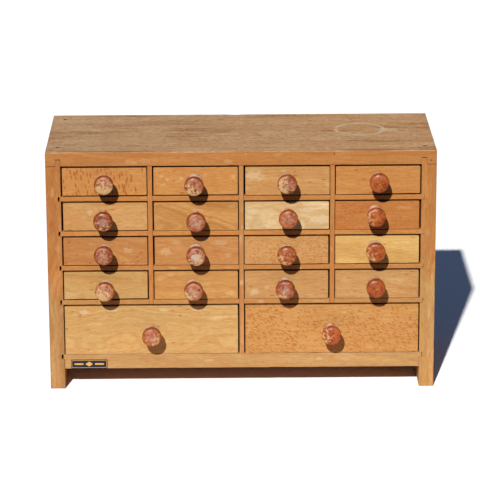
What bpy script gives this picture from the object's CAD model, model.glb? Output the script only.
"""Apothecary cabinet: the visual model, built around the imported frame.

Metres, +Z up, with the front of the cabinet facing -Y. Boards keep the CAD's sizes; their arrises
are rounded and worn, and every piece has its own cut of the same procedural beech.
"""
import math
import random

import bmesh
import bpy
from mathutils import Matrix, Vector, noise


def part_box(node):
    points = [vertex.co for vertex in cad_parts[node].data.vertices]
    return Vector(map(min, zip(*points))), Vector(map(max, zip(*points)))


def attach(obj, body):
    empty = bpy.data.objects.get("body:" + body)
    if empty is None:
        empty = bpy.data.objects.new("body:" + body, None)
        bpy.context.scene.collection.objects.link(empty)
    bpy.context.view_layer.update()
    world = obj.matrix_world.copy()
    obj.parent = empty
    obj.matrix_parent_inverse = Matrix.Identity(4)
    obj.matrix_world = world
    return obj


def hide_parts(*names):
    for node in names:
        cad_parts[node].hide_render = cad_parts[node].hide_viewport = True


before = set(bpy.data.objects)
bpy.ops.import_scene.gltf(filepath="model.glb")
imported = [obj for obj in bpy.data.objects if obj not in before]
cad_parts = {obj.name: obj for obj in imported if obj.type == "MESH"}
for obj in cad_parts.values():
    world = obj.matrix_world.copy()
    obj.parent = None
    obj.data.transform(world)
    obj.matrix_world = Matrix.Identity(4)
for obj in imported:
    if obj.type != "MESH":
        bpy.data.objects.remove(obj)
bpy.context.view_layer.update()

MM = 0.001
ROWS = "abcde"
SMALL_ROWS = "abcd"
SMALL_COLUMNS = (1, 2, 3, 4)
WIDE_COLUMNS = (1, 2)

# ---- Sizes that the CAD nodes' boxes don't give ----
SMALL_DRAWER = {"front": 11 * MM, "side": 6 * MM, "back": 6 * MM, "bottom": 3 * MM, "bottom_height": 3 * MM}
SMALL_LAP = 4 * MM  # thickness of a small front where it laps over the sides
JOINT_GAP = 0.12 * MM  # between glued boards
BORE_RADIUS = 5.3 * MM
KNOB_RADIUS = 15 * MM
EASE = 0.8 * MM  # rounding of a thick board's unworn arris
THIN_EASE = 0.5 * MM  # and of a shelf's, divider's or drawer front's
FRONT_CORNER = 1.7 * MM  # rounding of a drawer front's corners, seen from in front
ARRIS_STEP = 9 * MM  # between the points that an arris wears at


# ---- Colours ----
def linear(channel):
    """A 0-255 display value as linear light."""
    share = channel / 255
    return share / 12.92 if share <= 0.04045 else ((share + 0.055) / 1.055) ** 2.4


def colour(red, green, blue, dim=1.0):
    return (linear(red) * dim, linear(green) * dim, linear(blue) * dim, 1.0)


SUNLIT = 0.655  # how much darker a surface's own colour is than it looks in this light


def wood_tone(red, green, blue):
    """The colour of wood that looks like this in the sun."""
    return colour(red, green, blue, SUNLIT)


# ---- Shader nodes ----
class Nodes:
    """Adds nodes to a node tree. A value is a number, a tuple or another node's output."""

    def __init__(self, tree):
        self.tree = tree

    def add(self, kind, **settings):
        node = self.tree.nodes.new("ShaderNode" + kind)
        for name, value in settings.items():
            setattr(node, name, value)
        return node

    def put(self, socket, value):
        if isinstance(value, bpy.types.NodeSocket):
            self.tree.links.new(value, socket)
        else:
            socket.default_value = value

    def math(self, operation, *values):
        node = self.add("Math", operation=operation)
        for socket, value in zip(node.inputs, values):
            self.put(socket, value)
        return node.outputs[0]

    def times(self, first, second):
        return self.math("MULTIPLY", first, second)

    def times_plus(self, first, second, added):
        return self.math("MULTIPLY_ADD", first, second, added)

    def tinted(self, paint, *tint):
        """paint multiplied by a tint's red, green and blue."""
        return self.blend(1.0, paint, (*tint, 1), "MULTIPLY")

    def vector(self, operation, *values):
        node = self.add("VectorMath", operation=operation)
        for socket, value in zip(node.inputs, values):
            self.put(socket, value)
        return node.outputs["Value" if operation in ("DOT_PRODUCT", "LENGTH", "DISTANCE") else "Vector"]

    def stretch(self, vector, along, across, deep):
        return self.vector("MULTIPLY", vector, (along, across, deep))

    def parts(self, vector):
        node = self.add("SeparateXYZ")
        self.put(node.inputs[0], vector)
        return node.outputs

    def joined(self, *parts):
        node = self.add("CombineXYZ")
        for socket, value in zip(node.inputs, parts):
            self.put(socket, value)
        return node.outputs[0]

    def noise(self, vector, scale=1.0, detail=2.0, rough=0.5):
        node = self.add("TexNoise")
        self.put(node.inputs["Vector"], vector)
        self.put(node.inputs["Scale"], scale)
        self.put(node.inputs["Detail"], detail)
        self.put(node.inputs["Roughness"], rough)
        return node.outputs["Fac"]

    def noise_along(self, value, detail=2.0, rough=0.5):
        node = self.add("TexNoise", noise_dimensions="1D")
        self.put(node.inputs["W"], value)
        self.put(node.inputs["Scale"], 1.0)
        self.put(node.inputs["Detail"], detail)
        self.put(node.inputs["Roughness"], rough)
        return node.outputs["Fac"]

    def cells(self, vector, scale=1.0):
        node = self.add("TexVoronoi")
        self.put(node.inputs["Vector"], vector)
        self.put(node.inputs["Scale"], scale)
        return node.outputs["Distance"], node.outputs["Color"]

    def ramp(self, value, start, end, low=0.0, high=1.0):
        """Turns smoothly from low to high as value goes from start to end."""
        node = self.add("MapRange", interpolation_type="SMOOTHSTEP")
        for name, number in (("Value", value), ("From Min", start), ("From Max", end)):
            self.put(node.inputs[name], number)
        self.put(node.inputs["To Min"], low)
        self.put(node.inputs["To Max"], high)
        return node.outputs["Result"]

    def blend(self, share, first, second, kind="MIX"):
        node = self.add("Mix", data_type="RGBA", blend_type=kind)
        self.put(node.inputs[0], share)
        self.put(node.inputs[6], first)
        self.put(node.inputs[7], second)
        return node.outputs[2]

    def bump(self, height, distance, strength=1.0):
        node = self.add("Bump")
        self.put(node.inputs["Height"], height)
        self.put(node.inputs["Distance"], distance)
        self.put(node.inputs["Strength"], strength)
        return node.outputs["Normal"]


def new_group(name, inputs, outputs):
    """A node group; inputs and outputs are (name, kind, default). Returns it, its Nodes and both ends."""
    tree = bpy.data.node_groups.new(name, "ShaderNodeTree")
    for label, kind, default in inputs:
        socket = tree.interface.new_socket(label, in_out="INPUT", socket_type="NodeSocket" + kind)
        socket.default_value = default
    for label, kind in outputs:
        tree.interface.new_socket(label, in_out="OUTPUT", socket_type="NodeSocket" + kind)
    nodes = Nodes(tree)
    start = tree.nodes.new("NodeGroupInput")
    end = tree.nodes.new("NodeGroupOutput")
    return tree, nodes, start.outputs, end.inputs


def make_beech_group():
    """Beech with old varnish. Grain space has X along the grain, Y across it and Z into the board."""
    tree, n, given, result = new_group(
        "beech",
        [
            ("Grain", "Vector", (0, 0, 0)),
            ("Edge", "Float", 0.1),
            ("End", "Float", 0.0),
            ("Tone", "Color", (0.4, 0.19, 0.06, 1)),
            ("Figure", "Float", 1.0),
            ("Flecks", "Float", 0.2),
            ("Fleck tilt", "Float", 0.0),
            ("Fleck size", "Float", 1.0),
            ("Blotches", "Float", 0.5),
            ("Scuffs", "Float", 0.3),
            ("Wear", "Float", 0.5),
        ],
        [("Color", "Color"), ("Roughness", "Float"), ("Height", "Float")],
    )
    grain = given["Grain"]
    across = n.parts(grain)

    # Growth rings: shells round the pith, which lies along X, widening towards the butt.
    wander = n.noise(n.stretch(grain, 7, 13, 13), detail=2.5)
    radius = n.vector("LENGTH", n.joined(0.0, across[1], across[2]))
    shell = n.times_plus(across[0], 0.035, radius)
    shell = n.times_plus(wander, 0.040, shell)
    broad = n.ramp(n.noise_along(n.times(shell, 105.0), 3.0, 0.62), 0.32, 0.7)
    late = n.ramp(n.noise_along(n.times(shell, 380.0), 2.0, 0.5), 0.50, 0.68)

    # Streaks, mottling, fibres and pores run along the grain.
    streak = n.noise(n.stretch(grain, 14, 125, 125), detail=4.0, rough=0.66)
    elsewhere = n.vector("ADD", grain, (1.3, 4.1, 2.2))
    mottle = n.noise(n.stretch(elsewhere, 105, 400, 400), detail=3.0, rough=0.6)
    fibre = n.noise(n.stretch(grain, 24, 620, 620), detail=3.0, rough=0.62)
    fine = n.noise(n.stretch(grain, 90, 1900, 1900), detail=2.0, rough=0.6)
    pores = n.ramp(n.noise(n.stretch(grain, 260, 4200, 4200), detail=1.0), 0.6, 0.72)

    # Rays show as short brown flecks, which may lean to the grain.
    turn = n.add("VectorRotate", rotation_type="Z_AXIS")
    n.put(turn.inputs["Vector"], grain)
    n.put(turn.inputs["Angle"], given["Fleck tilt"])
    jitter = n.noise(n.stretch(grain, 90, 90, 90), detail=1.0)
    leaning = n.vector("ADD", turn.outputs[0], n.joined(0.0, n.times(jitter, 0.0022), 0.0))
    fleck_size = given["Fleck size"]
    spread = n.vector("DIVIDE", leaning, n.joined(fleck_size, fleck_size, fleck_size))
    distance, which = n.cells(n.stretch(spread, 90, 330, 120))
    chance = n.parts(which)[0]
    patch = n.noise(n.stretch(grain, 16, 26, 26), detail=1.0)
    likely = n.times(given["Flecks"], n.ramp(patch, 0.36, 0.62, 0.15, 1.7))
    present = n.math("LESS_THAN", chance, likely)
    fleck = n.times(n.ramp(distance, 0.45, 0.22), present)
    small_distance, small_which = n.cells(n.stretch(turn.outputs[0], 330, 1900, 500))
    small_present = n.math("LESS_THAN", n.parts(small_which)[1], n.times(likely, 1.4))
    small_fleck = n.times(n.ramp(small_distance, 0.42, 0.2), small_present)

    # Broad patches of darker, redder and paler wood.
    cloud = n.noise(n.stretch(grain, 9, 21, 21), detail=3.0, rough=0.55)
    warm = n.noise(n.stretch(n.vector("ADD", grain, (3.1, 1.7, 5.3)), 13, 17, 17), detail=2.0)

    tone = given["Tone"]
    figure = given["Figure"]
    darker = n.tinted(tone, 0.78, 0.64, 0.48)
    paler = n.tinted(tone, 1.14, 1.21, 1.34)
    redder = n.tinted(tone, 0.96, 0.76, 0.62)
    golden = n.tinted(tone, 1.08, 1.08, 0.92)
    brown = n.tinted(tone, 0.62, 0.36, 0.24)
    paint = n.blend(n.times(n.ramp(cloud, 0.40, 0.64), given["Blotches"]), tone, paler)
    patchy = n.times(n.ramp(warm, 0.48, 0.68), given["Blotches"])
    paint = n.blend(n.times(patchy, 0.8), paint, redder)
    paint = n.blend(n.ramp(streak, 0.52, 0.36, 0.0, 0.75), paint, golden)
    paint = n.blend(n.ramp(streak, 0.52, 0.68, 0.0, 0.75), paint, redder)
    paint = n.blend(n.ramp(mottle, 0.50, 0.66, 0.0, 0.62), paint, darker)
    paint = n.blend(n.ramp(mottle, 0.46, 0.32, 0.0, 0.55), paint, paler)
    deep = n.tinted(tone, 0.70, 0.53, 0.37)
    paint = n.blend(n.times(n.times(broad, figure), 0.5), paint, deep)
    late_wood = n.blend(0.5, redder, darker)
    paint = n.blend(n.times(n.times(late, figure), 0.5), paint, late_wood)
    paint = n.blend(n.ramp(fibre, 0.44, 0.68, 0.0, 0.5), paint, darker)
    paint = n.blend(n.ramp(fine, 0.44, 0.66, 0.0, 0.36), paint, paler)
    paint = n.blend(n.times(pores, 0.4), paint, brown)
    rust = n.tinted(tone, 0.68, 0.38, 0.20)
    paint = n.blend(n.times(fleck, 0.85), paint, rust)
    paint = n.blend(n.times(small_fleck, 0.5), paint, brown)

    # End grain is darker and drinks in the varnish.
    soaked = n.tinted(paint, 0.72, 0.60, 0.50)
    paint = n.blend(n.times(given["End"], 0.75), paint, soaked)

    # Pale scuffs, where the varnish has gone chalky.
    rub = n.noise(n.stretch(n.vector("ADD", grain, (7.7, 2.9, 0.4)), 30, 75, 75), detail=4.0, rough=0.6)
    scuff = n.times(n.ramp(rub, 0.60, 0.76), given["Scuffs"])
    chalk = n.blend(0.5, n.tinted(tone, 1.15, 1.3, 1.7), (0.47, 0.35, 0.22, 1))
    paint = n.blend(n.times(scuff, 0.8), paint, chalk)

    # Arrises are rubbed pale with a grubby line behind them.
    ragged = n.noise(n.stretch(grain, 160, 160, 160), detail=3.0, rough=0.6)
    edge = n.times_plus(ragged, 2.6 * MM, given["Edge"])
    grubby = n.times(n.ramp(edge, 5.2 * MM, 2.4 * MM), given["Wear"])
    paint = n.blend(n.times(grubby, 0.35), paint, darker)
    rubbed = n.times(n.ramp(edge, 1.9 * MM, 1.1 * MM), given["Wear"])
    paint = n.blend(n.times(rubbed, 0.75), paint, chalk)
    n.put(result["Color"], paint)

    gloss = n.times_plus(fibre, 0.22, 0.44)
    gloss = n.times_plus(scuff, 0.22, gloss)
    gloss = n.times_plus(rubbed, 0.12, gloss)
    n.put(result["Roughness"], n.times_plus(given["End"], 0.12, gloss))

    height = n.times_plus(fibre, 0.55, n.times(fine, 0.30))
    height = n.math("SUBTRACT", height, n.times(pores, 0.5))
    height = n.math("SUBTRACT", height, n.times(late, 0.12))
    n.put(result["Height"], height)
    return tree


def make_edge_group():
    """How far a point on a board lies from its nearest arris, and how much its face is end grain."""
    tree, n, given, result = new_group(
        "board_edges",
        [
            ("Centre", "Vector", (0, 0, 0)),
            ("Half size", "Vector", (1, 1, 1)),
            ("Along", "Vector", (1, 0, 0)),
        ],
        [("Edge", "Float"), ("End", "Float")],
    )
    place = n.add("TexCoord").outputs
    offset = n.vector("ABSOLUTE", n.vector("SUBTRACT", place["Object"], given["Centre"]))
    x, y, z = n.parts(n.vector("SUBTRACT", given["Half size"], offset))
    lower = n.math("MINIMUM", x, y)
    upper = n.math("MINIMUM", n.math("MAXIMUM", x, y), z)
    n.put(result["Edge"], n.math("MAXIMUM", lower, upper))
    facing = n.math("ABSOLUTE", n.vector("DOT_PRODUCT", place["Normal"], given["Along"]))
    n.put(result["End"], n.ramp(facing, 0.7, 0.9))
    return tree


beech_group = make_beech_group()
edge_group = make_edge_group()

AXES = {"X": Vector((1, 0, 0)), "Y": Vector((0, 1, 0)), "Z": Vector((0, 0, 1))}


def grain_matrix(axes):
    """Turns the row frame so that the grain's X, Y and Z lie along these axes of the frame."""
    along, across = AXES[axes[0]], AXES[axes[1]]
    return Matrix((along, across, along.cross(across)))


def new_material(name):
    material = bpy.data.materials.new(name)
    material.use_nodes = True
    nodes = Nodes(material.node_tree)
    return material, nodes, material.node_tree.nodes["Principled BSDF"].inputs


def group_node(nodes, tree, **values):
    node = nodes.add("Group", node_tree=tree)
    for name, value in values.items():
        nodes.put(node.inputs[name.replace("_", " ").capitalize()], value)
    return node


def oval_mark(nodes, place, middle, half, soft=0.35):
    """1 inside a ragged oval patch on the surface and 0 outside it, by frame place."""
    offset = nodes.vector("SUBTRACT", place, middle)
    scaled = nodes.vector("DIVIDE", offset, half)
    ragged = nodes.noise(nodes.vector("MULTIPLY", place, (170, 170, 170)), detail=4.0, rough=0.68)
    size = nodes.times_plus(ragged, 2.2, nodes.math("ADD", nodes.vector("LENGTH", scaled), -1.0))
    return nodes.ramp(size, 1.05, 1.05 - soft)


def beech(name, low, high, axes, tone, pith=(0.0, 0.03, 0.09), marks=(), dull=0.0, bump=0.12 * MM, **look):
    """Beech for a board between low and high. pith is the board's middle, measured in grain space
    from a point on the pith. marks are (place, half size, strength) of chalky patches."""
    material, nodes, shader = new_material(name)
    middle = (low + high) / 2
    turn = grain_matrix(axes)
    edges = group_node(nodes, edge_group, centre=middle, half_size=(high - low) / 2, along=turn[0])
    place = nodes.add("TexCoord").outputs["Object"]
    mapping = nodes.add("Mapping")
    nodes.put(mapping.inputs["Vector"], place)
    mapping.inputs["Rotation"].default_value = turn.to_euler()
    mapping.inputs["Location"].default_value = Vector(pith) - turn @ middle
    wood = group_node(
        nodes, beech_group, grain=mapping.outputs[0], edge=edges.outputs["Edge"],
        end=edges.outputs["End"], tone=tone, **look,
    )
    paint = wood.outputs["Color"]
    rough = wood.outputs["Roughness"]
    if dull:
        rough = nodes.math("ADD", rough, dull)
    for spot, half, strength in marks:
        mask = nodes.times(oval_mark(nodes, place, spot, half, soft=0.55), strength)
        lighter = nodes.tinted(paint, 1.1, 1.25, 1.5)
        chalky = nodes.blend(0.5, lighter, (0.46, 0.35, 0.21, 1))
        paint = nodes.blend(mask, paint, chalky)
    nodes.put(shader["Base Color"], paint)
    nodes.put(shader["Roughness"], rough)
    nodes.put(shader["Normal"], nodes.bump(wood.outputs["Height"], bump))
    shader["Specular IOR Level"].default_value = 0.25
    return material


# ---- Meshes ----
def finish_piece(name, mesh_data, body, material, replaced=()):
    """Makes an object of a bmesh, rounds its shading, and hangs it on its body."""
    for edge in mesh_data.edges:
        edge.smooth = len(edge.link_faces) == 2 and edge.calc_face_angle(0) < math.radians(38)
    for face in mesh_data.faces:
        face.smooth = True
    mesh = bpy.data.meshes.new(name)
    mesh_data.to_mesh(mesh)
    mesh_data.free()
    mesh.materials.append(material)
    piece = bpy.data.objects.new(name, mesh)
    bpy.context.scene.collection.objects.link(piece)
    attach(piece, body)
    if replaced:
        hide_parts(*replaced)
    return piece


def weigh_normals(piece):
    """Flat faces stay flat and only the rounded arrises turn in the light."""
    modifier = piece.modifiers.new("flat_faces", "WEIGHTED_NORMAL")
    modifier.keep_sharp = True
    modifier.weight = 100
    return piece


def prism(outline, low, high, axis="Z"):
    """A closed prism: the outline's (a, b) points, pushed along an axis from low to high."""
    order = {
        "X": lambda a, b, c: (c, a, b),
        "Y": lambda a, b, c: (a, c, b),
        "Z": lambda a, b, c: (a, b, c),
    }[axis]
    mesh = bmesh.new()
    first = [mesh.verts.new(order(a, b, low)) for a, b in outline]
    last = [mesh.verts.new(order(a, b, high)) for a, b in outline]
    mesh.faces.new(first)
    mesh.faces.new(last)
    for here in range(len(outline)):
        after = (here + 1) % len(outline)
        mesh.faces.new((first[here], first[after], last[after], last[here]))
    bmesh.ops.recalc_face_normals(mesh, faces=mesh.faces)
    return mesh


def block(low, high):
    outline = [(low.x, low.y), (high.x, low.y), (high.x, high.y), (low.x, high.y)]
    return prism(outline, low.z, high.z)


def edge_parts(edge):
    """Splits an edge about every ARRIS_STEP without touching its faces; returns the parts."""
    count = max(1, round(edge.calc_length() / ARRIS_STEP))
    start = edge.verts[0]
    parts = [edge]
    for left in range(count, 1, -1):
        part, start = bmesh.utils.edge_split(edge, start, 1 / left)
        parts.append(part)
    return parts


def is_arris(edge, low, high, ease):
    """Whether an edge lies on two faces of the board's box and is convex."""
    def on_face(vert, axis, side):
        return abs(vert.co[axis] - side[axis]) < 0.02 * MM

    planes = sum(
        all(on_face(vert, axis, side) for vert in edge.verts) for axis in range(3) for side in (low, high)
    )
    return planes >= 2 and len(edge.link_faces) == 2 and edge.calc_length() > 3 * ease


def wear_arrises(mesh, low, high, seed, amount, ease):
    """Draws an arris's rounding back unevenly, by scaling its distance from the board's faces."""
    near = 1.02 * ease
    for vert in mesh.verts:
        gaps = [(axis, side, vert.co[axis] - side[axis]) for axis in range(3) for side in (low, high)]
        close = [(axis, side, gap) for axis, side, gap in gaps if abs(gap) < near]
        if len(close) < 2:
            continue
        place = vert.co * 38 + Vector((seed * 3.7, seed * 1.3, seed * 7.1))
        soft = noise.noise(place)
        dent = max(0.0, noise.noise(place * 2.3 + Vector((5, 5, 5))) - 0.32)
        factor = 1 + amount * (0.55 * soft + 4.5 * dent)
        for axis, side, gap in close:
            vert.co[axis] = side[axis] + gap * max(0.5, factor)


def ease_board(mesh, low, high, seed, amount=1.0, ease=EASE):
    arrises = [edge for edge in mesh.edges if is_arris(edge, low, high, ease)]
    parts = [part for edge in arrises for part in edge_parts(edge)]
    bmesh.ops.bevel(
        mesh, geom=parts, offset=ease, offset_type="OFFSET", segments=3, profile=0.5,
        affect="EDGES", clamp_overlap=False,
    )
    wear_arrises(mesh, low, high, seed, amount, ease)
    return mesh


def board_from_node(node, seed, amount=1.0, ease=EASE):
    """The CAD board's own shape, with its arrises rounded and worn."""
    low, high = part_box(node)
    mesh = bmesh.new()
    mesh.from_mesh(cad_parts[node].data)
    bmesh.ops.remove_doubles(mesh, verts=mesh.verts, dist=0.002 * MM)
    bmesh.ops.dissolve_limit(mesh, angle_limit=math.radians(1), verts=mesh.verts, edges=mesh.edges)
    return ease_board(mesh, low, high, seed, amount, ease)


def lathe(profile, centre, steps=56, outward=-1):
    """Turns (radius, along) points about an axis through centre, along Y. Both ends lie on the axis."""
    mesh = bmesh.new()
    rings = []
    for radius, along in profile:
        y = centre.y + outward * along
        if radius < 1e-7:
            rings.append([mesh.verts.new((centre.x, y, centre.z))])
            continue
        angles = (2 * math.pi * step / steps for step in range(steps))
        rings.append([
            mesh.verts.new((centre.x + radius * math.cos(a), y, centre.z + radius * math.sin(a)))
            for a in angles
        ])
    for inner, outer in zip(rings, rings[1:]):
        for step in range(steps):
            after = (step + 1) % steps
            corners = [inner[step % len(inner)], outer[step % len(outer)]]
            corners += [outer[after % len(outer)], inner[after % len(inner)]]
            mesh.faces.new(list(dict.fromkeys(corners)))
    bmesh.ops.recalc_face_normals(mesh, faces=mesh.faces)
    return mesh


def join_into(mesh, other):
    """Adds another bmesh to this one and frees it."""
    data = bpy.data.meshes.new("joining")
    other.to_mesh(data)
    other.free()
    mesh.from_mesh(data)
    bpy.data.meshes.remove(data)


def smooth_line(points, steps=5):
    """A rounded line through points, by Catmull-Rom."""
    line = []
    for here in range(len(points) - 1):
        before, start = Vector(points[max(here - 1, 0)]), Vector(points[here])
        end, after = Vector(points[here + 1]), Vector(points[min(here + 2, len(points) - 1)])
        for step in range(steps):
            t = step / steps
            line.append(0.5 * (
                2 * start + (end - before) * t + (2 * before - 5 * start + 4 * end - after) * t ** 2
                + (3 * start - before - 3 * end + after) * t ** 3
            ))
    line.append(Vector(points[-1]))
    return line


# ---- Case ----
TOP_TONE = wood_tone(214, 171, 123)
CASE_TONES = {
    "left_side": wood_tone(182, 142, 88),
    "right_side": wood_tone(198, 159, 99),
    "bottom_board": wood_tone(191, 152, 97),
    "shelf_1": wood_tone(199, 136, 68),
    "shelf_2": wood_tone(202, 140, 73),
    "shelf_3": wood_tone(196, 136, 72),
    "shelf_4": wood_tone(192, 141, 80),
    "divider_left": wood_tone(199, 134, 72),
    "divider_centre": wood_tone(197, 144, 86),
    "divider_right": wood_tone(196, 134, 72),
}
CASE_GRAIN = {"left_side": "ZYX", "right_side": "ZYX", "divider_left": "ZYX", "divider_centre": "ZYX",
              "divider_right": "ZYX"}
CASE_LOOK = {
    "sides": dict(figure=1.3, flecks=0.0, blotches=0.9, scuffs=0.45, wear=0.6),
    "rail": dict(figure=0.7, flecks=0.02, blotches=0.8, scuffs=0.4, wear=0.45),
    "shelves": dict(figure=0.6, flecks=0.0, blotches=0.9, scuffs=0.7, wear=0.8),
    "dividers": dict(figure=1.1, flecks=0.0, blotches=1.0, scuffs=0.6, wear=0.6),
}


# Chalky patches on the case's front edges: (x, z, half width, half height, strength).
CASE_MARKS = {
    "divider_centre": [(0.0, 0.171, 0.0035, 0.006, 0.75), (0.001, 0.262, 0.003, 0.005, 0.4)],
    "divider_right": [(0.139, 0.226, 0.003, 0.005, 0.4)],
    "shelf_3": [(0.092, 0.1945, 0.0022, 0.0015, 1.0), (-0.105, 0.197, 0.009, 0.003, 0.4)],
    "shelf_4": [(0.030, 0.1415, 0.008, 0.003, 0.5), (0.115, 0.142, 0.010, 0.002, 0.4)],
    "bottom_board": [(-0.052, 0.045, 0.011, 0.003, 0.5), (0.121, 0.047, 0.008, 0.003, 0.5)],
    "left_side": [(-0.290, 0.318, 0.004, 0.009, 0.5), (-0.284, 0.232, 0.005, 0.008, 0.4)],
    "right_side": [(0.288, 0.252, 0.005, 0.010, 0.4), (0.291, 0.120, 0.004, 0.012, 0.4)],
}


# Where each side's varnish turns darker and redder on the way up, and by how much.
SIDE_FADES = {
    "left_side": (0.11, 0.18, (1.12, 0.85, 0.66, 1)),
    "right_side": (0.16, 0.25, (0.97, 0.74, 0.59, 1)),
}


def redden_side(material, start, end, tint):
    nodes = Nodes(material.node_tree)
    shader = material.node_tree.nodes["Principled BSDF"].inputs
    paint = shader["Base Color"].links[0].from_socket
    place = nodes.add("TexCoord").outputs["Object"]
    patches = nodes.noise(nodes.vector("MULTIPLY", place, (60, 60, 22)), detail=4.0, rough=0.62)
    height = nodes.times_plus(patches, 0.16, nodes.math("ADD", nodes.parts(place)[2], -0.08))
    red = nodes.blend(1.0, paint, tint, "MULTIPLY")
    paint = nodes.blend(nodes.ramp(height, start, end), paint, red)
    stained = nodes.tinted(paint, 0.86, 0.72, 0.60)
    nodes.put(shader["Base Color"], nodes.blend(nodes.ramp(patches, 0.54, 0.68, 0.0, 0.7), paint, stained))


def make_case():
    for number, (node, tone) in enumerate(CASE_TONES.items()):
        low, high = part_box(node)
        if node.endswith("_side"):
            look = CASE_LOOK["sides"]
        elif node.startswith("shelf"):
            look = CASE_LOOK["shelves"]
        elif node.startswith("divider"):
            look = CASE_LOOK["dividers"]
        else:
            look = CASE_LOOK["rail"]
        pith = (0.31 * number, 0.028 + 0.004 * number, 0.075)
        marks = [
            ((x, low.y, z), (half_width, 0.012, half_height), strength)
            for x, z, half_width, half_height, strength in CASE_MARKS.get(node, ())
        ]
        material = beech(f"{node}_beech", low, high, CASE_GRAIN.get(node, "XYZ"), tone, pith, marks, **look)
        if node in SIDE_FADES:
            redden_side(material, *SIDE_FADES[node])
        thin = node.startswith(("shelf", "divider"))
        mesh = board_from_node(node, number, ease=THIN_EASE if thin else EASE)
        weigh_normals(finish_piece(f"{node}_eased", mesh, "case", material, [node]))


RING_CENTRE = Vector((0.188, 0.034, 0.382))  # mark left by a glass
RING_RADIUS = 0.0375
# Pale patches on the top's front edge: (x, depth under the upper face, half width, half height, strength).
EDGE_PATCHES = [
    (-0.168, 15 * MM, 12 * MM, 6 * MM, 0.9),
    (-0.148, 14 * MM, 11 * MM, 4.5 * MM, 0.8),
    (-0.018, 15 * MM, 10 * MM, 4.5 * MM, 0.7),
    (0.007, 4 * MM, 2.4 * MM, 2.0 * MM, 1.0),
    (0.056, 6 * MM, 9 * MM, 3.5 * MM, 0.5),
]
TOP_NAILS = [(-0.280, 0.109), (-0.282, -0.069), (0.2835, -0.074)]


def chip_back_edge(mesh, high):
    """A splinter is gone from the upper rear arris, left of the middle. Both faces stay flat."""
    for vert in mesh.verts:
        behind, below = high.y - vert.co.y, high.z - vert.co.z
        if behind + below > 2.2 * MM:
            continue
        along = abs(vert.co.x + 9 * MM) / (15 * MM)
        depth = max(0.0, 1 - along ** 2)
        if behind > 0.06 * MM:
            vert.co.y -= 2.6 * MM * depth * (1.0 if below < 0.06 * MM else 0.5)
        if below > 0.06 * MM:
            vert.co.z -= 2.0 * MM * depth * (1.0 if behind < 0.06 * MM else 0.5)


def make_top():
    low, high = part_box("top_board")
    z = high.z
    marks = [
        ((0.230, 0.030, z), (0.022, 0.018, 0.02), 0.9),
        ((0.262, 0.028, z), (0.0035, 0.005, 0.004), 0.95),
        ((-0.254, 0.101, z), (0.0035, 0.004, 0.004), 0.8),
    ]
    material = beech(
        "top_board_beech", low, high, "XYZ", TOP_TONE, pith=(1.4, 0.015, 0.11), marks=marks, dull=0.12,
        figure=1.0, flecks=0.0, blotches=0.8, scuffs=0.5, wear=0.35,
    )
    weather_top(material, low, high)
    mesh = board_from_node("top_board", 11)
    chip_back_edge(mesh, high)
    weigh_normals(finish_piece("top_board_eased", mesh, "case", material, ["top_board"]))


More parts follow.
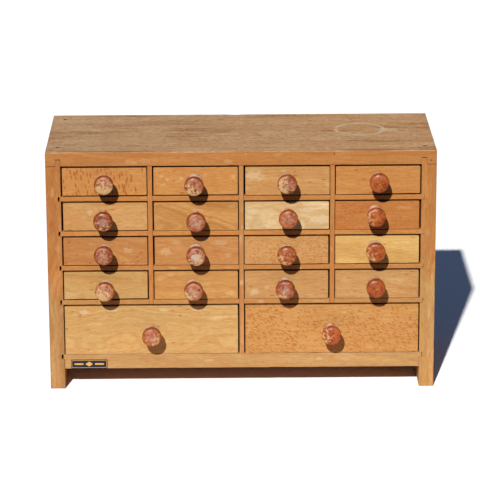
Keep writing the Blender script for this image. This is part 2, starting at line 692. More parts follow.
def weather_top(material, low, high):
    """The upper face is greyed and streaked, with stains round its nails and a glass ring. The edges
    keep their orange varnish."""
    nodes = Nodes(material.node_tree)
    shader = material.node_tree.nodes["Principled BSDF"].inputs
    paint = shader["Base Color"].links[0].from_socket
    place = nodes.add("TexCoord").outputs["Object"]
    x, y, z = nodes.parts(place)
    upper = nodes.ramp(z, high.z - 1.1 * MM, high.z - 0.5 * MM)
    orange = nodes.tinted(paint, 0.77, 0.545, 0.29)
    pale = nodes.tinted(orange, 1.18, 1.50, 2.2)
    for along, down, half_width, half_height, strength in EDGE_PATCHES:
        middle = (along, low.y, high.z - down)
        patch = oval_mark(nodes, place, middle, (half_width, 20 * MM, half_height), soft=0.55)
        orange = nodes.blend(nodes.times(patch, strength), orange, pale)

    dusty = nodes.noise(nodes.vector("MULTIPLY", place, (8, 60, 60)), detail=5.0, rough=0.66)
    dim = nodes.tinted(paint, 0.70, 0.58, 0.47)
    weathered = nodes.blend(nodes.ramp(dusty, 0.50, 0.68, 0.0, 0.85), paint, dim)
    speckled = nodes.noise(nodes.vector("MULTIPLY", place, (150, 260, 260)), detail=4.0, rough=0.7)
    dust = nodes.tinted(paint, 1.14, 1.24, 1.42)
    weathered = nodes.blend(nodes.ramp(speckled, 0.48, 0.62, 0.0, 0.8), weathered, dust)
    dirt = nodes.tinted(paint, 0.72, 0.64, 0.56)
    weathered = nodes.blend(nodes.ramp(speckled, 0.47, 0.36, 0.0, 0.7), weathered, dirt)
    brink = nodes.times(nodes.ramp(y, -0.085, -0.100), nodes.ramp(dusty, 0.42, 0.58))
    browned = nodes.tinted(paint, 0.82, 0.56, 0.38)
    weathered = nodes.blend(nodes.times(brink, 0.6), weathered, browned)
    leftness = nodes.ramp(x, 0.12, -0.25)
    grey = nodes.tinted(weathered, 0.95, 1.02, 1.14)
    weathered = nodes.blend(nodes.times(leftness, 0.8), weathered, grey)

    shade = nodes.noise(nodes.vector("MULTIPLY", place, (4, 30, 30)), detail=4.0, rough=0.6)
    shaded = nodes.tinted(weathered, 0.84, 0.77, 0.70)
    weathered = nodes.blend(nodes.ramp(shade, 0.54, 0.66, 0.0, 0.75), weathered, shaded)

    splinter = oval_mark(nodes, place, (-9 * MM, high.y, high.z), (9 * MM, 6 * MM, 6 * MM), soft=0.4)
    weathered = nodes.blend(splinter, weathered, (0.60, 0.50, 0.38, 1))
    bruise = oval_mark(nodes, place, (-23 * MM, high.y, high.z), (8 * MM, 7 * MM, 6 * MM), soft=0.5)
    weathered = nodes.blend(nodes.times(bruise, 0.85), weathered, (0.13, 0.085, 0.06, 1))
    for spot in TOP_NAILS:
        stain = oval_mark(nodes, place, (spot[0], spot[1], high.z), (5.6 * MM, 5 * MM, 4 * MM), soft=0.6)
        weathered = nodes.blend(nodes.times(stain, 0.9), weathered, (0.085, 0.055, 0.04, 1))

    wobble = nodes.noise(nodes.vector("MULTIPLY", place, (60, 60, 60)), detail=2.0)
    reach = nodes.vector("DISTANCE", nodes.joined(x, y, RING_CENTRE.z), tuple(RING_CENTRE))
    away = nodes.math("ABSOLUTE", nodes.math("SUBTRACT", reach, RING_RADIUS))
    line = nodes.ramp(away, 5.2 * MM, 0.4 * MM)
    ring = nodes.times(line, nodes.ramp(wobble, 0.3, 0.62, 0.3, 0.72))
    weathered = nodes.blend(ring, weathered, (0.50, 0.41, 0.25, 1))
    nodes.put(shader["Base Color"], nodes.blend(upper, orange, weathered))


# ---- Drawers: how each front looks ----
FRONT_TONES = {
    "cream": wood_tone(218, 190, 140),
    "lemon": wood_tone(228, 193, 122),
    "straw": wood_tone(206, 170, 108),
    "honey": wood_tone(203, 155, 95),
    "gold": wood_tone(201, 151, 86),
    "biscuit": wood_tone(195, 150, 93),
    "amber": wood_tone(203, 144, 78),
    "chestnut": wood_tone(192, 136, 78),
    "russet": wood_tone(192, 126, 64),
}

# tone names one of FRONT_TONES; pith and look are chosen for each front; marks are (right, up, half
# width, half height, strength), measured from the middle of the front; planed is how much was taken
# off the lower edge at its left and right ends to clear the shelf, in mm.
FRONTS = {
    "a1": dict(tone="amber", pith=(0.1, 0.11, 0.01), planed=(1.7, 2.2), flecks=0.62, fleck_tilt=1.48,
               fleck_size=1.3, figure=0.3, blotches=0.3),
    "a2": dict(tone="amber", pith=(2.2, 0.03, 0.08), planed=(1.6, 1.9), flecks=0.05, figure=0.6,
               blotches=0.7,
               marks=[(-0.0515, 0.009, 0.0050, 0.0035, 0.6), (-0.044, 0.004, 0.0035, 0.003, 0.5),
                      (-0.050, -0.004, 0.005, 0.003, 0.5), (-0.022, 0.005, 0.005, 0.004, 0.5),
                      (0.058, 0.007, 0.005, 0.006, 0.4), (0.015, 0.010, 0.006, 0.004, 0.25)]),
    "a3": dict(tone="honey", pith=(3.1, 0.05, 0.06), planed=(0.6, 1.1), flecks=0.06, figure=0.9,
               blotches=0.7, marks=[(-0.050, 0.009, 0.019, 0.011, 0.8), (-0.006, 0.017, 0.007, 0.003, 0.6),
                                    (-0.063, -0.010, 0.006, 0.004, 0.4),
                                    (0.063, -0.005, 0.007, 0.006, 0.5)]),
    "a4": dict(tone="amber", pith=(4.4, 0.09, 0.03), planed=(0.7, 2.4), flecks=0.05, figure=0.9,
               blotches=0.4),
    "b1": dict(tone="honey", pith=(5.3, 0.08, 0.05), planed=(1.5, 1.4), flecks=0.05, figure=0.5,
               blotches=0.8, marks=[(-0.024, 0.008, 0.006, 0.005, 0.6), (-0.032, 0.001, 0.006, 0.004, 0.4),
                                    (-0.014, 0.013, 0.005, 0.003, 0.4), (0.053, -0.013, 0.006, 0.002, 0.7),
                                    (0.062, -0.003, 0.003, 0.007, 0.4)]),
    "b2": dict(tone="gold", pith=(6.7, 0.015, 0.05), planed=(0.4, 0.4), flecks=0.06, figure=2.0,
               blotches=0.5, marks=[(-0.060, -0.002, 0.007, 0.006, 0.3), (0.055, 0.016, 0.012, 0.003, 0.3)]),
    "b3": dict(tone="cream", pith=(7.2, 0.02, 0.10), planed=(1.0, 1.6), flecks=0.02, figure=1.5,
               blotches=0.9, wear=0.4,
               marks=[(-0.052, 0.008, 0.014, 0.006, 0.9), (0.032, 0.010, 0.014, 0.004, 0.8),
                      (0.050, -0.005, 0.022, 0.009, 0.85), (-0.030, -0.015, 0.010, 0.003, 0.5),
                      (0.008, 0.017, 0.010, 0.003, 0.5)]),
    "b4": dict(tone="russet", pith=(8.9, 0.10, 0.02), planed=(0.1, 0.5), flecks=0.22, fleck_size=0.5,
               fleck_tilt=-1.0, figure=0.6, blotches=0.5, marks=[(0.040, 0.013, 0.014, 0.004, 0.3)]),
    "c1": dict(tone="chestnut", pith=(9.4, 0.03, 0.07), planed=(1.1, 1.0), flecks=0.12, fleck_tilt=-0.5,
               figure=1.1, blotches=0.6,
               marks=[(0.035, 0.002, 0.013, 0.006, 0.5), (-0.02, 0.012, 0.008, 0.003, 0.3)]),
    "c2": dict(tone="chestnut", pith=(10.6, 0.06, 0.05), planed=(0.4, 0.4), flecks=0.08, figure=0.6,
               blotches=0.9, marks=[(-0.048, 0.0, 0.012, 0.008, 0.5), (0.038, 0.014, 0.018, 0.005, 0.4),
                                    (0.050, -0.006, 0.010, 0.006, 0.4), (-0.030, 0.014, 0.008, 0.004, 0.4)]),
    "c3": dict(tone="honey", pith=(11.1, 0.09, 0.04), planed=(0.9, 1.2), flecks=0.5, fleck_size=0.55,
               figure=0.4, blotches=0.4),
    "c4": dict(tone="lemon", pith=(12.8, 0.01, 0.04), planed=(1.1, 1.4), flecks=0.02, figure=1.9,
               blotches=0.5, wear=0.3, marks=[(0.045, 0.012, 0.012, 0.004, 0.3)]),
    "d1": dict(tone="straw", pith=(13.3, 0.02, 0.045), planed=(1.5, 2.3), flecks=0.06, figure=2.2,
               blotches=0.6, marks=[(-0.05, -0.012, 0.012, 0.004, 0.4), (0.048, 0.010, 0.014, 0.005, 0.3)]),
    "d2": dict(tone="gold", pith=(14.5, 0.05, 0.03), planed=(0.5, 0.4), flecks=0.06, figure=1.1,
               blotches=0.5, marks=[(0.052, -0.012, 0.010, 0.004, 0.4), (-0.055, 0.012, 0.008, 0.004, 0.4)]),
    "d3": dict(tone="biscuit", pith=(15.2, 0.06, 0.06), planed=(0.2, 0.3), flecks=0.06, figure=0.6,
               blotches=0.6,
               marks=[(-0.050, -0.010, 0.011, 0.007, 0.8), (-0.030, -0.004, 0.006, 0.004, 0.5)]),
    "d4": dict(tone="biscuit", pith=(16.6, 0.08, 0.03), planed=(0.3, 0.3), flecks=0.06, figure=0.5,
               blotches=0.7, marks=[(0.03, 0.008, 0.020, 0.004, 0.4), (-0.05, 0.006, 0.010, 0.006, 0.3)]),
    "e1": dict(tone="straw", pith=(17.4, 0.02, 0.07), flecks=0.06, figure=1.5, blotches=0.8,
               marks=[(-0.105, 0.030, 0.011, 0.005, 0.8), (-0.060, 0.034, 0.012, 0.004, 0.7),
                      (0.020, 0.033, 0.010, 0.004, 0.7), (0.075, 0.034, 0.016, 0.004, 0.6),
                      (0.100, 0.020, 0.012, 0.006, 0.4), (-0.090, 0.010, 0.016, 0.005, 0.3)]),
    "e2": dict(tone="gold", pith=(18.9, 0.10, 0.05), flecks=0.85, fleck_tilt=0.5, fleck_size=0.8, figure=0.5,
               blotches=0.5, marks=[(0.02, 0.027, 0.0035, 0.002, 0.9)]),
}
FRONT_BASICS = dict(scuffs=0.4, wear=0.55)


def front_material(label, low, high):
    look = {**FRONT_BASICS, **FRONTS[label]}
    look.pop("planed", None)
    middle = (low + high) / 2
    marks = [
        ((middle.x + right, low.y, middle.z + up), (half_width, 0.01, half_height), strength)
        for right, up, half_width, half_height, strength in look.pop("marks", ())
    ]
    tone = FRONT_TONES[look.pop("tone")]
    return beech(f"front_{label}_beech", low, high, "XZY", tone, marks=marks, **look)


def round_corners(mesh, low, high):
    """Rounds the corners of a front's face, right through its thickness."""
    def at_corner(vert):
        beside = min(abs(vert.co.x - low.x), abs(vert.co.x - high.x)) < 0.02 * MM
        return beside and min(abs(vert.co.z - low.z), abs(vert.co.z - high.z)) < 0.02 * MM

    corners = [edge for edge in mesh.edges if all(at_corner(vert) for vert in edge.verts)
               and abs(edge.verts[0].co.y - edge.verts[1].co.y) > MM]
    bmesh.ops.bevel(
        mesh, geom=corners, offset=FRONT_CORNER, offset_type="OFFSET", segments=5, profile=0.5,
        affect="EDGES", clamp_overlap=False,
    )
    return mesh


def ease_front(mesh, low, high, seed):
    """Eases the edge all round a front's face."""
    rim = [edge for edge in mesh.edges if all(abs(vert.co.y - low.y) < 0.02 * MM for vert in edge.verts)]
    parts = [part for edge in rim for part in edge_parts(edge)]
    bmesh.ops.bevel(
        mesh, geom=parts, offset=THIN_EASE, offset_type="OFFSET", segments=3, profile=0.5,
        affect="EDGES", clamp_overlap=False,
    )
    wear_arrises(mesh, low, high, seed, 0.8, THIN_EASE)


def plane_lower_edge(mesh, low, high, centre_z, planed):
    """Takes the lower edge up by the planed amounts (left, right), leaving everything round the bore."""
    unmoved = centre_z - 8 * MM
    left, right = (amount * MM for amount in planed)
    for vert in mesh.verts:
        depth = max(0.0, (unmoved - vert.co.z) / (unmoved - low.z))
        rightward = (vert.co.x - low.x) / (high.x - low.x)
        vert.co.z += depth * (left + (right - left) * rightward)


def bored_front(outline, low, high, knob_centre, seed, planed):
    """A front from its outline seen from above, eased, with the bore for the knob's spigot."""
    mesh = round_corners(prism(outline, low.z, high.z), low, high)
    ease_front(mesh, low, high, seed)
    plane_lower_edge(mesh, low, high, knob_centre.z, planed)
    cutter_low = low.y - 2 * MM
    angles = [2 * math.pi * step / 32 for step in range(32)]
    circle = [
        (knob_centre.x + BORE_RADIUS * math.cos(a), knob_centre.z + BORE_RADIUS * math.sin(a))
        for a in angles
    ]
    return subtract(mesh, prism(circle, cutter_low, high.y + 2 * MM, axis="Y"))


def subtract(mesh, tool):
    """mesh less tool, as a new bmesh; both are freed."""
    pieces = []
    for part in (mesh, tool):
        data = bpy.data.meshes.new("cutting")
        part.to_mesh(data)
        part.free()
        piece = bpy.data.objects.new("cutting", data)
        bpy.context.scene.collection.objects.link(piece)
        pieces.append(piece)
    modifier = pieces[0].modifiers.new("bore", "BOOLEAN")
    modifier.operation = "DIFFERENCE"
    modifier.solver = "EXACT"
    modifier.object = pieces[1]
    graph = bpy.context.evaluated_depsgraph_get()
    cut = bmesh.new()
    cut.from_mesh(pieces[0].evaluated_get(graph).data)
    for piece in pieces:
        data = piece.data
        bpy.data.objects.remove(piece)
        bpy.data.meshes.remove(data)
    return cut


def lapped_outline(low, high, lap_y, side):
    """A front seen from above: full width in front, narrower between the drawer's sides."""
    inner_left, inner_right = low.x + side + JOINT_GAP, high.x - side - JOINT_GAP
    return [
        (low.x, low.y), (high.x, low.y), (high.x, lap_y), (inner_right, lap_y),
        (inner_right, high.y), (inner_left, high.y), (inner_left, lap_y), (low.x, lap_y),
    ]


def inner_beech(name, low, high, axes, seed):
    draw = random.Random(seed)
    red = 205 + draw.uniform(-8, 8)
    tone = wood_tone(red, red - 45 + draw.uniform(-6, 6), red - 98 + draw.uniform(-8, 8))
    pith = (draw.uniform(0, 20), draw.uniform(0.01, 0.1), draw.uniform(0.03, 0.1))
    return beech(name, low, high, axes, tone, pith, dull=0.12,
                 figure=0.8, flecks=0.2, blotches=0.5, scuffs=0.15, wear=0.35)


def inner_board(name, body, low, high, axes, seed, replaced=(), mesh=None):
    material = inner_beech(f"{name}_beech", low, high, axes, seed)
    if mesh is None:
        mesh = ease_board(block(low, high), low, high, seed, amount=0.4)
    weigh_normals(finish_piece(name, mesh, body, material, replaced))


def make_small_drawer(label, number):
    body = f"drawer_{label}"
    node = f"{body}_box"
    low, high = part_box(node)
    sizes = SMALL_DRAWER
    front_back = low.y + sizes["front"]
    lap_y = low.y + SMALL_LAP
    front_high = Vector((high.x, front_back, high.z))
    knob = knob_centre(label)
    outline = lapped_outline(low, front_high, lap_y, sizes["side"])
    mesh = bored_front(outline, low, front_high, knob, number, FRONTS[label]["planed"])
    material = front_material(label, low, front_high)
    weigh_normals(finish_piece(f"{body}_front_board", mesh, body, material, [node]))

    side_y = lap_y + JOINT_GAP
    inner_left, inner_right = low.x + sizes["side"], high.x - sizes["side"]
    sides = {"left": (low.x, inner_left), "right": (inner_right, high.x)}
    for hand, (start, end) in sides.items():
        inner_board(f"{body}_{hand}_board", body, Vector((start, side_y, low.z)),
                    Vector((end, high.y, high.z)), "YZX", 10 * number + len(hand), [node])
    bottom_low = low.z + sizes["bottom_height"]
    bottom_high = bottom_low + sizes["bottom"]
    between = (inner_left + JOINT_GAP, inner_right - JOINT_GAP)
    inner_board(f"{body}_bottom_board", body, Vector((between[0], front_back + JOINT_GAP, bottom_low)),
                Vector((between[1], high.y, bottom_high)), "XYZ", 10 * number + 1, [node])
    back_low = Vector((between[0], high.y - sizes["back"], bottom_high + JOINT_GAP))
    inner_board(f"{body}_back_board", body, back_low,
                Vector((between[1], high.y - 0.05 * MM, high.z)), "XZY", 10 * number + 2, [node])
    make_side_pins(body, low, high, lap_y + 3.5 * MM, number)


def make_wide_drawer(label, number):
    body = f"drawer_{label}"
    low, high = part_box(f"{body}_front")
    mesh = board_from_node(f"{body}_front", number)
    material = front_material(label, low, high)
    front = finish_piece(f"{body}_front_board", mesh, body, material, [f"{body}_front"])
    weigh_normals(front)
    inner_axes = {"left_side": "YZX", "right_side": "YZX", "back": "XZY", "bottom": "XYZ"}
    for index, (part, axes) in enumerate(inner_axes.items()):
        node = f"{body}_{part}"
        part_low, part_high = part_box(node)
        mesh = board_from_node(node, number + index, amount=0.5)
        inner_board(f"{node}_board", body, part_low, part_high, axes, 10 * number + index, [node], mesh)
    side_low, side_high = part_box(f"{body}_left_side")[0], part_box(f"{body}_right_side")[1]
    make_side_pins(body, side_low, side_high, side_low.y + 3.5 * MM, number)


# ---- Metal: nails, pins and the plate ----
def metal(name, tone, rough, tint):
    """Dull metal with darker patches."""
    material, nodes, shader = new_material(name)
    place = nodes.add("TexCoord").outputs["Object"]
    patches = nodes.noise(nodes.vector("MULTIPLY", place, (900, 900, 900)), detail=3.0)
    share = nodes.ramp(patches, 0.4, 0.62)
    nodes.put(shader["Base Color"], nodes.blend(share, tone, tint))
    nodes.put(shader["Roughness"], nodes.times_plus(patches, 0.3, rough))
    nodes.put(shader["Normal"], nodes.bump(patches, 0.05 * MM))
    shader["Metallic"].default_value = 0.85
    return material


iron = metal("old_iron", (0.07, 0.055, 0.05, 1), 0.45, (0.11, 0.05, 0.03, 1))


def nail_profile(radius):
    """A flat nail head with a soft rim and a shank that goes 3 mm in."""
    return smooth_line([(0.0, 0.18 * MM), (0.55 * radius, 0.2 * MM), (0.9 * radius, 0.12 * MM)], 3) + [
        Vector((radius, -0.02 * MM)), Vector((0.45 * radius, -0.3 * MM)), Vector((0.4 * radius, -3 * MM)),
        Vector((0.0, -3.4 * MM)),
    ]


def nail(place, facing, radius=1.3 * MM):
    """A nail driven in at place, whose head faces along facing."""
    mesh = lathe(nail_profile(radius), Vector((0, 0, 0)), steps=16)
    turn = Vector((0, -1, 0)).rotation_difference(Vector(facing)).to_matrix().to_4x4()
    bmesh.ops.transform(mesh, matrix=Matrix.Translation(place) @ turn, verts=mesh.verts)
    return mesh


def make_nails(name, body, places, facing, radius=1.3 * MM):
    mesh = bmesh.new()
    for place in places:
        join_into(mesh, nail(Vector(place), facing, radius))
    return finish_piece(name, mesh, body, iron)


def make_side_pins(body, low, high, y, number):
    """Two pins on each side of a drawer hold its front."""
    mesh = bmesh.new()
    draw = random.Random(number)
    for x, facing in ((low.x, (-1, 0, 0)), (high.x, (1, 0, 0))):
        for share in (0.25, 0.75):
            z = low.z + share * (high.z - low.z) + draw.uniform(-2, 2) * MM
            join_into(mesh, nail(Vector((x, y + draw.uniform(0, 1) * MM, z)), facing, 0.9 * MM))
    finish_piece(f"{body}_pins", mesh, body, iron)


def make_case_nails():
    top_low, top_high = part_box("top_board")
    rail = top_low.y
    top = top_high.z
    make_nails("top_nails", "case", [(x, y, top) for x, y in TOP_NAILS], (0, 0, 1), 1.7 * MM)
    make_nails("front_nails", "case",
               [(0.1425, rail, 0.3773), (0.2912, rail, 0.3667)], (0, -1, 0), 1.2 * MM)
    make_nails("stile_pins", "case",
               [(0.2811, rail, 0.1963), (0.2819, rail, 0.1428)], (0, -1, 0), 0.9 * MM)
    for hand, node in ((-1, "left_side"), (1, "right_side")):
        low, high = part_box(node)
        x = low.x if hand < 0 else high.x
        heights = [0.0445, 0.0445, 0.0445]
        depths = [low.y + 0.03, (low.y + high.y) / 2, high.y - 0.03]
        make_nails(f"{node}_nails", "case",
                   [(x, y, z) for y, z in zip(depths, heights)], (hand, 0, 0), 1.5 * MM)


def make_back():
    low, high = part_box("back_panel")
    tone = wood_tone(196, 156, 110)
    material = beech("back_panel_beech", low, high, "XZY", tone, (2.0, 0.03, 0.12), dull=0.15,
                     figure=1.2, flecks=0.1, blotches=0.7, scuffs=0.2, wear=0.3)
    mesh = board_from_node("back_panel", 21, amount=0.5)
    weigh_normals(finish_piece("back_panel_eased", mesh, "case", material, ["back_panel"]))
    inset = 4.5 * MM
    across = [low.x + inset + (high.x - low.x - 2 * inset) * step / 7 for step in range(8)]
    upward = [low.z + 0.02 + (high.z - low.z - 0.04) * step / 4 for step in range(5)]
    places = [(x, high.y, z) for x in across for z in (low.z + 9 * MM, high.z - inset)]
    places += [(x, high.y, z) for x in (low.x + inset, high.x - inset) for z in upward[1:-1]]
    make_nails("back_nails", "case", places, (0, 1, 0), 1.5 * MM)


def rounded_rectangle(low_x, high_x, low_z, high_z, radius, steps=6):
    points = []
    corners = [(high_x, high_z, 0), (low_x, high_z, 1), (low_x, low_z, 2), (high_x, low_z, 3)]
    for x, z, quarter in corners:
        middle_x = x - radius if x == high_x else x + radius
        middle_z = z - radius if z == high_z else z + radius
        for step in range(steps + 1):
            angle = (quarter + step / steps) * math.pi / 2
            points.append((middle_x + radius * math.cos(angle), middle_z + radius * math.sin(angle)))
    return points


def make_plate():
    """A blank plate: dark enamel with a gilt line and a plain lozenge."""
    low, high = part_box("maker_plate")
    enamel, nodes, shader = new_material("dark_enamel")
    place = nodes.add("TexCoord").outputs["Object"]
    worn = nodes.noise(nodes.vector("MULTIPLY", place, (700, 700, 700)), detail=4.0, rough=0.65)
    enamel_paint = nodes.blend(nodes.ramp(worn, 0.55, 0.72), (0.009, 0.012, 0.022, 1), (0.04, 0.034, 0.034, 1))
    nodes.put(shader["Base Color"], enamel_paint)
    nodes.put(shader["Roughness"], nodes.times_plus(worn, 0.3, 0.25))
    nodes.put(shader["Normal"], nodes.bump(worn, 0.03 * MM))
    shader["Specular IOR Level"].default_value = 0.25
    gilt, nodes, shader = new_material("gilt")
    place = nodes.add("TexCoord").outputs["Object"]
    worn = nodes.noise(nodes.vector("MULTIPLY", place, (1100, 1100, 1100)), detail=3.0)
    gilt_paint = nodes.blend(nodes.ramp(worn, 0.5, 0.7), (0.62, 0.38, 0.10, 1), (0.30, 0.17, 0.06, 1))
    nodes.put(shader["Base Color"], gilt_paint)
    nodes.put(shader["Roughness"], nodes.times_plus(worn, 0.3, 0.3))
    shader["Metallic"].default_value = 0.4
    outline = rounded_rectangle(low.x, high.x, low.z, high.z, 1.6 * MM)
    base = prism(outline, low.y + 0.12 * MM, high.y, axis="Y")
    finish_piece("maker_plate_enamel", base, "case", enamel, ["maker_plate"])

    front, behind = low.y, low.y + 0.2 * MM
    border = frame_of_plate(low, high, 1.1 * MM, 1.7 * MM, front, behind)
    centre_x, centre_z = (low.x + high.x) / 2, (low.z + high.z) / 2
    lozenge = [(centre_x - 6 * MM, centre_z), (centre_x, centre_z - 4 * MM),
               (centre_x + 6 * MM, centre_z), (centre_x, centre_z + 4 * MM)]
    join_into(border, prism(lozenge, front, behind, axis="Y"))
    for hand in (-1, 1):
        bar = rounded_rectangle(*sorted((centre_x + hand * 9 * MM, centre_x + hand * 23 * MM)),
                                centre_z - 1.3 * MM, centre_z + 1.3 * MM, 0.6 * MM)
        join_into(border, prism(bar, front, behind, axis="Y"))
    finish_piece("maker_plate_gilding", border, "case", gilt)


def frame_of_plate(low, high, outer, inner, front, behind):
    """A thin raised line round the plate, between two insets from its edge."""
    mesh = bmesh.new()
    loops = []
    for inset, radius in ((outer, 1.2 * MM), (inner, 0.8 * MM)):
        shape = rounded_rectangle(low.x + inset, high.x - inset, low.z + inset, high.z - inset, radius)
        loops.append([[mesh.verts.new((x, y, z)) for x, z in shape] for y in (front, behind)])
    (outer_front, outer_back), (inner_front, inner_back) = loops
    count = len(outer_front)
    for here in range(count):
        after = (here + 1) % count
        for first, second in ((outer_front, inner_front), (inner_front, inner_back),
                              (inner_back, outer_back), (outer_back, outer_front)):
            mesh.faces.new((first[here], first[after], second[after], second[here]))
    bmesh.ops.recalc_face_normals(mesh, faces=mesh.faces)
    return mesh


# ---- Knobs ----
KNOB_FOOT = [  # radius over the foot's radius, and distance from the drawer's front, in mm
    (0.94, 0.3), (0.985, 0.8), (1.0, 1.5), (0.965, 2.3), (0.87, 2.9),
]
KNOB_PROFILE = [  # radius and distance from the drawer's front, in mm, from the foot to the tip
    (8.4, 4.4), (7.4, 7.0), (7.05, 10.0), (7.6, 14.0), (9.2, 18.0), (11.6, 21.0), (14.1, 23.0),
    (14.85, 24.6), (15.0, 27.0), (15.0, 30.4), (14.7, 32.3), (13.6, 33.9), (11.4, 34.9), (8.2, 35.5),
    (4.7, 35.85), (2.0, 35.97), (0.9, 35.75), (0.0, 35.6),
]
SPIGOT_RADIUS = 5 * MM
SPIGOT_LENGTH = 9.6 * MM

# wear: how much of the head is rubbed pink; bare: how much varnish is gone from it, mostly on the
# side that faces turn (degrees, from the right, anticlockwise); rim: whether the chips reach over the
# rim; chalk: how white the middle has gone; hue: 0 orange to 1 dark red; foot: its radius in mm.
KNOBS = {
    "a1": dict(wear=0.80, bare=0.43, turn=265, rim=0.2, chalk=0.0, hue=0.35, foot=9.6),
    "a2": dict(wear=0.72, bare=0.32, turn=245, rim=0.2, chalk=0.0, hue=0.55, foot=12.6),
    "a3": dict(wear=0.65, bare=0.36, turn=215, rim=0.2, chalk=0.15, hue=0.4, foot=9.6),
    "a4": dict(wear=0.0, bare=0.0, turn=170, rim=0.0, chalk=0.0, hue=0.2, foot=10.2),
    "b1": dict(wear=0.45, bare=0.20, turn=275, rim=0.0, chalk=0.35, hue=0.75, foot=10.3),
    "b2": dict(wear=0.72, bare=0.0, turn=270, rim=0.0, chalk=0.25, hue=0.35, foot=10.4),
    "b3": dict(wear=0.66, bare=0.0, turn=90, rim=0.0, chalk=0.15, hue=0.1, foot=9.6),
    "b4": dict(wear=0.2, bare=0.16, turn=180, rim=1.0, chalk=0.0, hue=0.0, foot=12.4),
    "c1": dict(wear=0.66, bare=0.04, turn=270, rim=0.0, chalk=0.1, hue=0.4, foot=10.2),
    "c2": dict(wear=0.75, bare=0.24, turn=300, rim=0.2, chalk=0.8, hue=0.25, foot=11.8),
    "c3": dict(wear=0.45, bare=0.25, turn=240, rim=0.2, chalk=0.0, hue=0.3, foot=10.0),
    "c4": dict(wear=0.2, bare=0.17, turn=205, rim=1.0, chalk=0.0, hue=0.0, foot=11.2),
    "d1": dict(wear=0.75, bare=0.42, turn=235, rim=0.5, chalk=0.1, hue=0.2, foot=10.4),
    "d2": dict(wear=0.75, bare=0.22, turn=200, rim=0.2, chalk=0.3, hue=0.3, foot=11.4),
    "d3": dict(wear=0.5, bare=0.17, turn=225, rim=0.9, chalk=0.3, hue=0.5, foot=11.6),
    "d4": dict(wear=0.0, bare=0.0, turn=90, rim=0.0, chalk=0.0, hue=0.35, foot=10.6),
    "e1": dict(wear=0.66, bare=0.2, turn=300, rim=0.3, chalk=0.15, hue=0.15, foot=10.6),
    "e2": dict(wear=0.25, bare=0.18, turn=190, rim=1.0, chalk=0.0, hue=0.1, foot=11.6),
}


def knob_centre(label):
    """Where the knob's axis meets the drawer's front."""
    low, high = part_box(f"drawer_{label}_knob")
    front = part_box(f"drawer_{label}_box" if label[0] in SMALL_ROWS else f"drawer_{label}_front")[0].y
    return Vector(((low.x + high.x) / 2, front, (low.z + high.z) / 2))


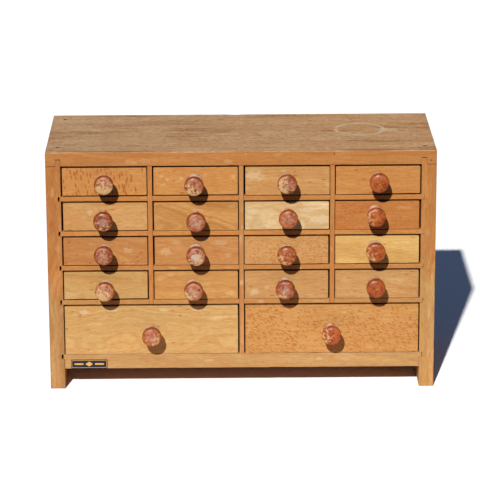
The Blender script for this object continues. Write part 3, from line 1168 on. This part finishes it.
def make_knob_group():
    """Orange to red-brown varnish over pale beech, rubbed pink and flaking off the head."""
    tree, n, given, result = new_group(
        "knob_varnish",
        [
            ("Centre", "Vector", (0, 0, 0)),
            ("Seed", "Vector", (0, 0, 0)),
            ("Side", "Vector", (1, 0, 0)),
            ("Wear", "Float", 0.5),
            ("Bare", "Float", 0.2),
            ("Rim", "Float", 0.0),
            ("Chalk", "Float", 0.0),
            ("Hue", "Float", 0.3),
        ],
        [("Color", "Color"), ("Roughness", "Float"), ("Height", "Float")],
    )
    place = n.vector("SUBTRACT", n.add("TexCoord").outputs["Object"], given["Centre"])
    seeded = n.vector("ADD", place, given["Seed"])
    x, y, z = n.parts(place)
    from_axis = n.vector("LENGTH", n.joined(x, 0.0, z))
    radial = n.math("DIVIDE", from_axis, KNOB_RADIUS)
    out = n.times(y, -1.0)

    cloud = n.noise(seeded, scale=120.0, detail=3.0, rough=0.6)
    flake = n.noise(seeded, scale=190.0, detail=5.0, rough=0.7)
    chip = n.noise(n.vector("ADD", seeded, (4.7, 1.9, 3.3)), scale=175.0, detail=5.0, rough=0.68)
    speck = n.noise(seeded, scale=560.0, detail=3.0, rough=0.65)
    turned = n.noise_along(n.times(from_axis, 900.0), 2.0, 0.5)

    orange = n.blend(given["Hue"], (0.305, 0.074, 0.0148, 1), (0.178, 0.037, 0.0115, 1))
    dark = n.tinted(orange, 0.58, 0.44, 0.38)
    light = n.tinted(orange, 1.30, 1.60, 1.75)
    paint = n.blend(n.ramp(cloud, 0.42, 0.60), orange, dark)
    paint = n.blend(n.ramp(flake, 0.50, 0.64, 0.0, 0.75), paint, light)
    paint = n.blend(n.ramp(turned, 0.5, 0.7, 0.0, 0.35), paint, dark)

    # Rubbed: pinkish and speckled, over the face of the head.
    front = n.ramp(out, 30 * MM, 33 * MM)
    face = n.times(n.ramp(n.times_plus(speck, 0.14, radial), 1.03, 0.86), front)
    thin = n.times_plus(given["Wear"], 0.30, n.times_plus(speck, 0.25, flake))
    any_wear = n.ramp(given["Wear"], 0.0, 0.1)
    rubbed = n.times(n.times(n.ramp(thin, 0.78, 0.90), face), any_wear)
    pink = n.blend(n.ramp(speck, 0.38, 0.62), (0.225, 0.082, 0.038, 1), (0.345, 0.176, 0.100, 1))
    paint = n.blend(n.times(rubbed, 0.9), paint, pink)
    whitened = n.math("ADD", n.times(chip, 1.5), radial)
    white = n.times(n.times(n.ramp(whitened, 1.35, 1.05), face), given["Chalk"])
    paint = n.blend(white, paint, (0.37, 0.30, 0.255, 1))

    # Bare: the varnish has come off in flakes, mostly on one side.
    toward = n.math("DIVIDE", n.vector("DOT_PRODUCT", place, given["Side"]), KNOB_RADIUS)
    gone = n.times_plus(toward, 0.16, n.times_plus(given["Bare"], 0.52, chip))
    inside_rim = n.ramp(n.times_plus(speck, 0.16, radial), 1.05, 0.98)
    over = n.math("MAXIMUM", n.times(inside_rim, n.ramp(out, 31 * MM, 33 * MM)), given["Rim"])
    over = n.times(over, n.ramp(out, 21 * MM, 24 * MM))
    any_bare = n.ramp(given["Bare"], 0.0, 0.02)
    bare = n.times(n.ramp(gone, 0.70, 0.75), n.times(over, any_bare))
    raw = n.blend(n.ramp(speck, 0.35, 0.62), (0.345, 0.190, 0.072, 1), (0.455, 0.310, 0.140, 1))
    paint = n.blend(n.times(bare, 0.95), paint, raw)

    tip = n.times(n.ramp(radial, 0.085, 0.045), n.ramp(out, 30 * MM, 33 * MM))
    paint = n.blend(n.times(tip, 0.5), paint, raw)

    # The foot has gone greyish, and dirt sits in the corner behind it.
    greyed = n.ramp(n.times_plus(speck, 0.5, cloud), 0.58, 0.88)
    foot = n.times(n.ramp(out, 7.5 * MM, 3.6 * MM), greyed)
    foot = n.times(foot, n.ramp(given["Wear"], 0.0, 0.5, 0.6, 1.0))
    paint = n.blend(n.times(foot, 0.9), paint, (0.33, 0.25, 0.175, 1))

    sidewall = n.ramp(n.math("ABSOLUTE", n.math("SUBTRACT", out, 27.5 * MM)), 5.5 * MM, 3 * MM)
    rim = n.times(n.ramp(radial, 0.9, 0.99), sidewall)
    varnished = n.math("SUBTRACT", 1.0, bare)
    paint = n.blend(n.times(n.times(rim, 0.6), varnished), paint, dark)
    n.put(result["Color"], paint)

    gloss = n.times_plus(cloud, 0.16, 0.30)
    gloss = n.times_plus(rubbed, 0.2, gloss)
    gloss = n.times_plus(foot, 0.3, gloss)
    n.put(result["Roughness"], n.times_plus(bare, 0.3, gloss))
    turning = n.math("SINE", n.times(from_axis, 5200.0))
    height = n.times_plus(turning, 0.05, n.times(speck, 0.35))
    n.put(result["Height"], n.math("SUBTRACT", height, n.times(bare, 0.5)))
    return tree


knob_group = make_knob_group()


def make_knob(label, number):
    body = f"drawer_{label}"
    centre = knob_centre(label)
    draw = random.Random(100 + number)
    swell = 1 + draw.uniform(-0.02, 0.01)
    profile = [(0.0, -SPIGOT_LENGTH), (SPIGOT_RADIUS - 0.4 * MM, -SPIGOT_LENGTH),
               (SPIGOT_RADIUS, 0.5 * MM - SPIGOT_LENGTH), (SPIGOT_RADIUS, 0.3 * MM)]
    look = KNOBS[label]
    shape = [(share * look["foot"], along) for share, along in KNOB_FOOT]
    shape += [(radius * swell, along) for radius, along in KNOB_PROFILE]
    turned = smooth_line([(radius * MM, along * MM) for radius, along in shape], 3)
    mesh = lathe([Vector(point) for point in profile] + turned[:-1] + [Vector((0.0, turned[-1].y))], centre)

    material, nodes, shader = new_material(f"knob_{label}_varnish")
    angle = math.radians(look["turn"])
    paint = group_node(
        nodes, knob_group, centre=centre, seed=(number * 0.37, number * 0.11, number * 0.23),
        side=(math.cos(angle), 0.0, math.sin(angle)), wear=look["wear"], bare=look["bare"],
        rim=look["rim"], chalk=look["chalk"], hue=look["hue"],
    )
    nodes.put(shader["Base Color"], paint.outputs["Color"])
    nodes.put(shader["Roughness"], paint.outputs["Roughness"])
    nodes.put(shader["Normal"], nodes.bump(paint.outputs["Height"], 0.12 * MM))
    shader["Specular IOR Level"].default_value = 0.35
    finish_piece(f"{body}_turned_knob", mesh, body, material, [f"{body}_knob"])


# ---- Stage ----
FLOOR_HALF = 40.0


def make_floor():
    """White, and for the light that it throws up, bright only near the cabinet."""
    mesh = bmesh.new()
    corners = [(-1, -1), (1, -1), (1, 1), (-1, 1)]
    mesh.faces.new([mesh.verts.new((x * FLOOR_HALF, y * FLOOR_HALF, 0)) for x, y in corners])
    data = bpy.data.meshes.new("floor")
    mesh.to_mesh(data)
    mesh.free()
    floor = bpy.data.objects.new("floor", data)
    bpy.context.scene.collection.objects.link(floor)
    material, nodes, shader = new_material("white_floor")
    place = nodes.add("TexCoord").outputs["Object"]
    distance = nodes.vector("DISTANCE", place, (0.0, -0.05, 0.0))
    thrown = nodes.blend(nodes.ramp(distance, 0.35, 0.75), (0.84, 0.57, 0.47, 1), (0.10, 0.10, 0.10, 1))
    seen = nodes.add("LightPath").outputs["Is Camera Ray"]
    nodes.put(shader["Base Color"], nodes.blend(seen, thrown, (0.92, 0.92, 0.92, 1)))
    shader["Roughness"].default_value = 0.9
    shader["Specular IOR Level"].default_value = 0.0
    data.materials.append(material)


def make_lights():
    """A low sun from the front left, with a pale blue sky."""
    data = bpy.data.lights.new("sun", "SUN")
    data.energy = 6.0
    data.angle = math.radians(1.2)
    data.color = (1.0, 0.985, 0.96)
    sun = bpy.data.objects.new("sun", data)
    sun.rotation_euler = Vector((0.1734, 0.7853, -0.594)).to_track_quat("-Z", "Y").to_euler()
    bpy.context.scene.collection.objects.link(sun)
    world = bpy.data.worlds.new("sky")
    world.use_nodes = True
    nodes = Nodes(world.node_tree)
    sky = world.node_tree.nodes["Background"].inputs
    seen = nodes.add("LightPath").outputs["Is Camera Ray"]
    nodes.put(sky["Color"], nodes.blend(seen, (0.051, 0.075, 0.136, 1), (1.0, 1.0, 1.0, 1)))
    sky["Strength"].default_value = 1.0
    bpy.context.scene.world = world


CAMERA_PLACE = (-0.0304, -4.0307, 1.4026)
CAMERA_ANGLES = (16.47, 0.411, -0.279)  # pitch down, yaw and roll, in degrees


def make_camera():
    data = bpy.data.cameras.new("camera")
    data.sensor_width = 36
    data.lens = 199.06
    camera = bpy.data.objects.new("camera", data)
    pitch, yaw, roll = (math.radians(angle) for angle in CAMERA_ANGLES)
    turn = Matrix.Rotation(-yaw, 4, "Z") @ Matrix.Rotation(math.pi / 2 - pitch, 4, "X")
    camera.matrix_world = Matrix.Translation(CAMERA_PLACE) @ turn @ Matrix.Rotation(roll, 4, "Z")
    bpy.context.scene.collection.objects.link(camera)
    bpy.context.scene.camera = camera


make_camera()
make_lights()
make_floor()
make_top()
make_case()
make_back()
make_plate()
make_case_nails()
labels = [f"{row}{column}" for row in SMALL_ROWS for column in SMALL_COLUMNS]
for number, label in enumerate(labels, start=31):
    make_small_drawer(label, number)
    make_knob(label, number)
for number, column in enumerate(WIDE_COLUMNS, start=61):
    make_wide_drawer(f"{ROWS[-1]}{column}", number)
    make_knob(f"{ROWS[-1]}{column}", number)

scene = bpy.context.scene
scene.view_settings.view_transform = "Standard"
scene.view_settings.look = "None"
